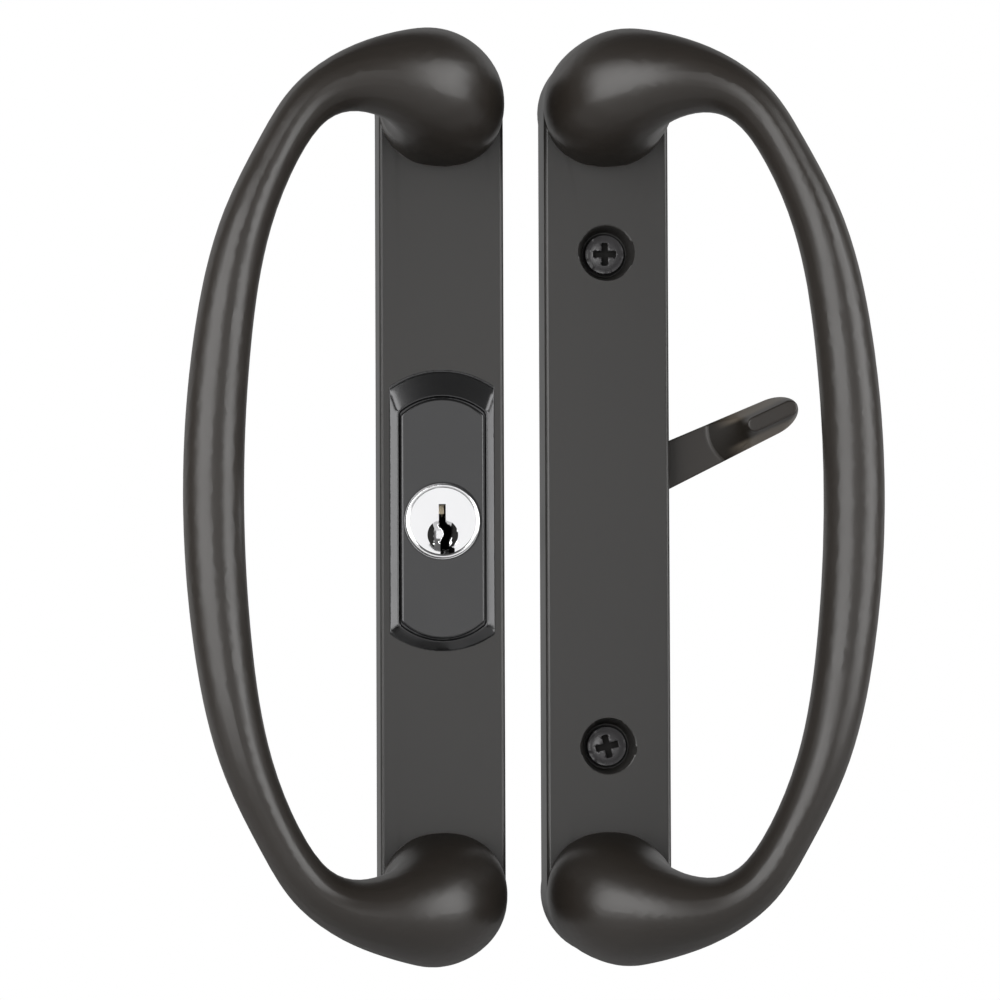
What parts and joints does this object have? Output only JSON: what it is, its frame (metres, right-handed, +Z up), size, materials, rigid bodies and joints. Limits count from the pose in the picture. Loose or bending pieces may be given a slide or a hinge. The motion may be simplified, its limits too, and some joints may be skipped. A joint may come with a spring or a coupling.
{
  "type": "sliding patio door handle set",
  "caption": "Two-sided pull for a sliding patio door: bowed grips on slim plates, a key lock outside, a thumb lever inside, and screws that clamp both halves through the door.",
  "frame": {"origin": "midway between the two mounting screws of the inside half, on the plane of the door's face", "axes": "+X to the right as seen from the front of both halves, +Y into the door, +Z up along the plates"},
  "size_m": [0.1383, 0.1002, 0.1874],
  "materials": {
    "black_coat": "satin",
    "lock_trim": "satin",
    "bright_plate": "polished",
    "black_screw": "satin",
    "zinc_steel": "zinc plated",
    "pin_brass": "turned"
  },
  "bodies": {
    "handle_set": {"outside_handle": "black_coat", "inside_handle": "black_coat", "lock_bezel": "lock_trim", "lock_face_plate": "lock_trim", "cylinder_shell": "bright_plate", "mounting_screws": "black_screw", "tower_cover": "zinc_steel", "lock_retainer": "zinc_steel", "lock_retainer_screws": "zinc_steel", "lever_washer": "zinc_steel", "lever_retainer": "zinc_steel", "lever_retainer_screws": "zinc_steel", "driver_pin_1": "pin_brass", "driver_pin_2": "pin_brass", "driver_pin_3": "pin_brass", "driver_pin_4": "pin_brass", "driver_pin_5": "pin_brass", "pin_spring_1": "zinc_steel", "pin_spring_2": "zinc_steel", "pin_spring_3": "zinc_steel", "pin_spring_4": "zinc_steel", "pin_spring_5": "zinc_steel"},
    "lever": {"thumb_lever": "black_coat", "lever_tailpiece": "zinc_steel"},
    "plug": {"lock_plug": "bright_plate", "plug_clip": "zinc_steel", "key_tailpiece": "zinc_steel", "key_pin_1": "pin_brass", "key_pin_2": "pin_brass", "key_pin_3": "pin_brass", "key_pin_4": "pin_brass", "key_pin_5": "pin_brass"}
  },
  "joints": [
    {"name": "lever_swing", "type": "hinge", "parent": "handle_set", "child": "lever", "pos_m": [0, 0, 0.0012], "axis": [0, 1, 0], "range_deg": [0, 50]},
    {"name": "key_turn", "type": "hinge", "parent": "handle_set", "child": "plug", "pos_m": [-0.0335, 0, -0.0045], "axis": [0, 1, 0], "range_deg": [-90, 90]}
  ]
}
